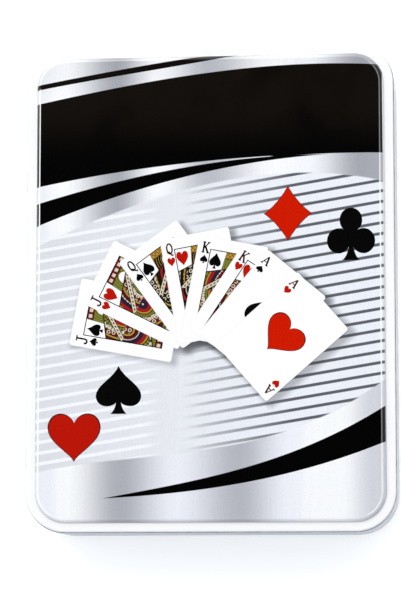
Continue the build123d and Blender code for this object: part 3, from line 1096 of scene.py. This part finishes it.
largeMarks = {
    "diamond": {"middle": (21.25, 19.55), "size": (12.9, 14.9)},
    "heart": {"middle": (-36.5, -40.4), "size": (14.3, 12.9)},
    "club": {"middle": (38.15, 13.75), "size": (12.9, 14.1)},
    "spade": {"middle": (-24.5, -27.65), "size": (12.3, 12.9)},
}
markLayers = [
    {"name": "redSuitRims", "suits": ("diamond", "heart"), "ink": darkRedInk, "wider": 0.12, "lift": 0.0},
    {"name": "redSuitMarks", "suits": ("diamond",), "ink": redInk, "wider": -0.42, "lift": 0.003},
    {"name": "deepSuitMarks", "suits": ("heart",), "ink": deepRedInk, "wider": -0.5, "lift": 0.003},
    {"name": "blackSuitMarks", "suits": ("club", "spade"), "ink": blackInk, "wider": 0.0, "lift": 0.0},
]
markGround = {"height": 22.045, "thickness": 0.006}
for layer in markLayers:
    marks = bmesh.new()
    for suit in layer["suits"]:
        size = [side + layer["wider"] for side in largeMarks[suit]["size"]]
        placer = makePlacer(largeMarks[suit]["middle"], 90, size=size)
        addMark(marks, suit, placer, markGround["height"] + layer["lift"], markGround["thickness"])
    keepPiece(layer["name"], marks, layer["ink"])
print("large suit marks printed")

# The two decks: separate cards, each a little out of line with the next

deckSizes = {"length": 88.0, "width": 58.0, "cornerRadius": 3.5, "thickness": 0.262, "pitch": 0.29,
             "floor": 1.28, "lift": 0.01, "offset": 32.0, "slip": 0.16, "turn": 0.12}
deckRuns = {"spades": 13, "hearts": 13, "clubs": 13, "diamonds": 13, "jokers": 2}


def scatter(tree, kind, seed, low=None, high=None):
    return addNode(tree, "FunctionNodeRandomValue", {"data_type": kind}, min=low, max=high, seed=seed)


def buildPileTree():
    tree, given = newTree("cardPile", "length", "width", "cornerRadius", "thickness", "pitch", "count",
                          "start", "slip", "turn", "seed", "material")
    length, width, radius, thickness, pitch, count, start, slip, turn, seed, material = given[1:]
    card = cardBlank(tree, length, width, radius, thickness)
    line = addNode(tree, "MeshLine", count=count, startLocation=start, offset=joinVector(0.0, 0.0, pitch))
    turned = joinVector(0.0, 0.0, scatter(tree, "FLOAT", seed, times(turn, -1.0), turn))
    piled = addNode(tree, "InstanceOnPoints", points=line, instance=card, rotation=turned)
    back = times(slip, -1.0)
    slipped = scatter(tree, "FLOAT_VECTOR", plus(seed, 1.0), joinVector(back, back), joinVector(slip, slip))
    moved = addNode(tree, "TranslateInstances", instances=piled, translation=slipped, localSpace=False)
    toned = addNode(tree, "StoreNamedAttribute", {"data_type": "FLOAT", "domain": "INSTANCE"},
                    geometry=moved, name="cardTone", value=scatter(tree, "FLOAT", plus(seed, 2.0)))
    return closeTree(tree, toned, material)


backLooks = {
    "red_deck": {"ink": (176, 24, 30), "deep": (150, 16, 24), "side": -1, "seed": 11},
    "blue_deck": {"ink": (26, 58, 132), "deep": (18, 44, 108), "side": 1, "seed": 47},
}
backSizes = {"margin": 4.4, "frameAt": 5.45, "frameHalf": 0.25, "lattice": 3.2, "latticeLine": 0.28,
             "bead": (0.5, 0.38), "latticeStart": (6.15, 6.35), "medallion": 10.5, "petals": 12,
             "petalDepth": 0.9, "petalRing": 1.25, "petalLine": (0.45, 0.35), "grain": (3.0, 0.2, 0.2)}
stockTones = {"face": (240, 240, 236), "cut": (232, 230, 222), "cutShade": (206, 204, 196)}


def makeCardBack(name, look):
    # Woven lattice inside a line frame, with a plain rosette in the middle, and a white margin.
    material, surface, position = startMaterial(name)
    size = backSizes
    spot = readAttribute(surface, "cardPlace")["Vector"]
    u, v = splitVector(spot)[:2]
    pu, pv = splitVector(pastSides(spot, (deckSizes["length"] / 2, deckSizes["width"] / 2, 0.0)))[:2]
    inset = times(largest(pu, pv), -1.0)
    margin = within(inset, size["margin"], 0.05)
    frameLine = within(apart(inset, size["frameAt"]), size["frameHalf"], 0.05)
    half = size["lattice"] / 2
    threads = [within(calc("ABSOLUTE", wrapped(sloped(v, way, u), half)), size["latticeLine"], 0.06)
               for way in (1.0, -1.0)]
    bead = ease(reachOf(wrapped(u, half), wrapped(plus(v, half), half)), *size["bead"])
    weave = times(largest(*threads, bead), ease(inset, *size["latticeStart"]))
    wave = calc("COSINE", times(calc("ARCTAN2", v, u), float(size["petals"])))
    petals = sloped(wave, size["petalDepth"], reachOf(u, v))
    rosette = ease(calc("PINGPONG", petals, size["petalRing"]), *size["petalLine"])
    weave = mixValue(ease(petals, size["medallion"], size["medallion"] - 0.2), weave, rosette)
    grain = addGrain(position, *size["grain"])
    inkColour = mixColour(ease(grain["Height"], 0.3, 0.7), paint(*look["ink"]), paint(*look["deep"]))
    stock, cut, cutShade = (paint(*tone) for tone in stockTones.values())
    face = mixColour(margin, mixColour(largest(weave, frameLine), inkColour, stock), stock)

    # cut edges: off-white layers, each card a little different
    side = mixColour(readAttribute(surface, "cardTone")["Fac"], cut, cutShade)
    flat = over(levelness(surfaceNormal(surface)), 0.5)
    linen = addBump(addNoise(position, 2.5, 1.0), 0.08, 0.00005)
    fillNamed(surface, baseColor=mixColour(flat, side, face), roughness=sloped(grain["Grain"], 0.5, 0.32),
              coatWeight=0.25, coatRoughness=0.15, normal=linen)
    return material


pileTree = buildPileTree()
for deck, look in backLooks.items():
    back = makeCardBack(deck.replace("_deck", "CardBack"), look)
    first = 0
    for run, count in deckRuns.items():
        height = deckSizes["floor"] + first * deckSizes["pitch"] + deckSizes["lift"]
        pile = growPiece(
            deck.replace("_deck", "Deck") + run.capitalize(), pileTree, count=count,
            **inMetres(deckSizes, "length", "width", "cornerRadius", "thickness", "pitch", "slip"),
            start=(0.0, look["side"] * deckSizes["offset"] * mm, height * mm),
            turn=math.radians(deckSizes["turn"]), seed=look["seed"] + first, material=back)
        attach(pile, "base")
        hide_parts(deck + "_" + run)
        first += count
print("decks laid in the tray")

# Floor, light and camera

lightPlan = {
    "keyPlace": (-0.36, 0.82, 0.93), "keySize": 0.6, "keyPower": 3.0, "keyColour": (1.0, 0.99, 0.97),
    # brightness of the room from straight down to straight up
    "sky": [(0.0, 0.2), (0.3, 0.35), (0.5, 1.2), (0.6, 1.6), (0.83, 1.6), (0.9, 0.1), (0.94, 0.02),
            (1.0, 0.02)],
    "skyStrength": 1.1, "brightSide": (-0.35, 0.94, 0.0), "backdrop": (0.93, 0.93, 0.94, 1.0),
    "nearTint": (1.35, 1.35, 1.33, 1.0), "farTint": (0.54, 0.55, 0.59, 1.0), "tableGlow": 0.34,
    "tableReach": 6.0, "table": (250, 250, 249), "tableShade": (246, 247, 247),
}
cameraPlan = {"place": (71.8, -89.9, 757.4), "turn": (6.65, 5.76, 0.0), "lens": 165.9, "sensor": 36.0}


def makeFloor():
    material, surface, position = startMaterial("paleTable")
    seen = surface.id_data.nodes.new("ShaderNodeLightPath").outputs["Is Camera Ray"]
    table, shade = (paint(*lightPlan[key]) for key in ("table", "tableShade"))
    colour = mixColour(addNoise(position, 0.004, 3.0), table, shade)
    fillNamed(surface, baseColor=colour, roughness=0.75, emissionColor=(1.0, 1.0, 1.0, 1.0),
              emissionStrength=times(seen, lightPlan["tableGlow"]))
    r = lightPlan["tableReach"]
    data = bpy.data.meshes.new("paleTable")
    data.from_pydata([(-r, -r, 0), (r, -r, 0), (r, r, 0), (-r, r, 0)], [], [(0, 1, 2, 3)])
    data.materials.append(material)
    addObject("paleTable", data)


def makeKeyLight():
    key = bpy.data.lights.new("keyLight", "AREA")
    key.shape = "DISK"
    key.size = lightPlan["keySize"]
    key.energy = lightPlan["keyPower"]
    key.color = lightPlan["keyColour"]
    lamp = addObject("keyLight", key)
    lamp.location = lightPlan["keyPlace"]
    lamp.rotation_euler = Vector(lightPlan["keyPlace"]).to_track_quat("Z", "Y").to_euler()


def makeRoom():
    # Soft room that lights the tin, and a plain pale backdrop where it is looked at.
    world = bpy.data.worlds.new("softStudio")
    world.use_nodes = True
    nodes = world.node_tree.nodes
    nodes.clear()
    way = nodes.new("ShaderNodeTexCoord").outputs["Generated"]
    stops = [(at, (level, level, level, 1.0)) for at, level in lightPlan["sky"]]
    side = ease(calcVector("DOT_PRODUCT", way, lightPlan["brightSide"]), -0.8, 0.8)
    tint = mixColour(side, lightPlan["farTint"], lightPlan["nearTint"])
    room, pale = nodes.new("ShaderNodeBackground"), nodes.new("ShaderNodeBackground")
    sky = mixColour(1.0, addRamp(splitVector(way)[2], stops), tint, "MULTIPLY")
    fillNamed(room, color=sky, strength=lightPlan["skyStrength"])
    fillNamed(pale, color=lightPlan["backdrop"])
    seen = nodes.new("ShaderNodeLightPath").outputs["Is Camera Ray"]
    mixed = newNode("ShaderNodeMixShader", seen, room.outputs[0], pale.outputs[0])
    fill(nodes.new("ShaderNodeOutputWorld").inputs, mixed.outputs)
    bpy.context.scene.world = world


def makeCamera():
    data = bpy.data.cameras.new("viewCamera")
    data.lens = cameraPlan["lens"]
    data.sensor_width = cameraPlan["sensor"]
    data.clip_start = 0.01
    data.clip_end = 20.0
    camera = addObject("viewCamera", data)
    camera.location = [value * mm for value in cameraPlan["place"]]
    camera.rotation_euler = [math.radians(value) for value in cameraPlan["turn"]]
    bpy.context.scene.camera = camera


makeFloor()
makeKeyLight()
makeRoom()
makeCamera()
bpy.context.scene.view_settings.view_transform = "Standard"
print("floor, light and camera set")
